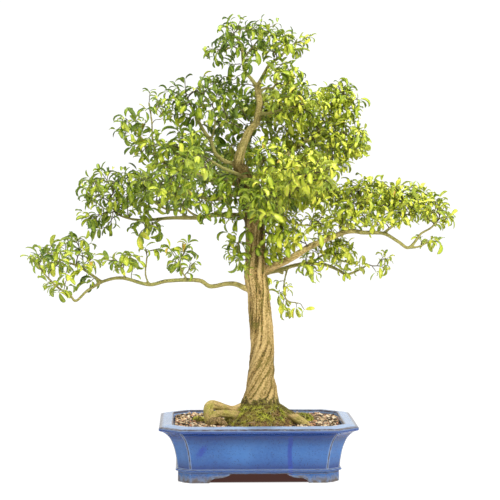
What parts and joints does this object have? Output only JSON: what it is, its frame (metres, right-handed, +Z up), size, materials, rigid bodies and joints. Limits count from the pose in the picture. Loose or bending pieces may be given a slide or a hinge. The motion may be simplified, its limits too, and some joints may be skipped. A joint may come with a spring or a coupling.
{
  "type": "pomegranate bonsai",
  "caption": "Potted bonsai tree with a twisted trunk, tiered leafy branches, surface roots, moss and gritty soil, in a flared, glazed rectangular pot on cloud-shaped feet.",
  "frame": {"origin": "on the surface it stands on, under the middle of the whole tree's bounding box", "axes": "+Z up, the front of the tree and the pot's long side towards -Y, +X to the right seen from the front"},
  "size_m": [0.8652, 0.504, 0.9093],
  "materials": {
    "blue_glaze": "gloss",
    "bark": "matte",
    "leaves": "satin",
    "moss": "matte",
    "planting_mix": "matte",
    "drainage_grit": "matte",
    "screen_plastic": "matte",
    "tie_wire": "satin"
  },
  "bodies": {
    "root": {"anchor_wire": "tie_wire", "drainage_layer": "drainage_grit", "drainage_screen_left": "screen_plastic", "drainage_screen_right": "screen_plastic", "leaves_apex_left": "leaves", "leaves_apex_low": "leaves", "leaves_apex_middle": "leaves", "leaves_apex_right": "leaves", "leaves_back_left": "leaves", "leaves_back_right": "leaves", "leaves_back_top": "leaves", "leaves_front_high": "leaves", "leaves_front_left": "leaves", "leaves_front_middle": "leaves", "leaves_left_hanging": "leaves", "leaves_left_second_front": "leaves", "leaves_left_second_low": "leaves", "leaves_left_second_mid": "leaves", "leaves_left_second_tip": "leaves", "leaves_left_third": "leaves", "leaves_lower_left_mid": "leaves", "leaves_lower_left_tip": "leaves", "leaves_right_front": "leaves", "leaves_right_hanging": "leaves", "leaves_right_lower_near": "leaves", "leaves_right_lower_tip": "leaves", "leaves_right_main_drop": "leaves", "leaves_right_main_far": "leaves", "leaves_right_main_near": "leaves", "leaves_right_main_tip": "leaves", "leaves_right_mid": "leaves", "leaves_right_mid_low": "leaves", "leaves_right_upper_high": "leaves", "leaves_right_upper_low": "leaves", "leaves_right_upper_mid": "leaves", "leaves_right_upper_tip": "leaves", "leaves_upper_left_high": "leaves", "leaves_upper_left_inner": "leaves", "leaves_upper_left_low": "leaves", "leaves_upper_left_tip": "leaves", "moss_mound": "moss", "moss_patch_left": "moss", "moss_patch_right": "moss", "pot": "blue_glaze", "screen_clip_left": "tie_wire", "screen_clip_right": "tie_wire", "soil": "planting_mix", "trunk_and_branches": "bark"}
  },
  "joints": []
}
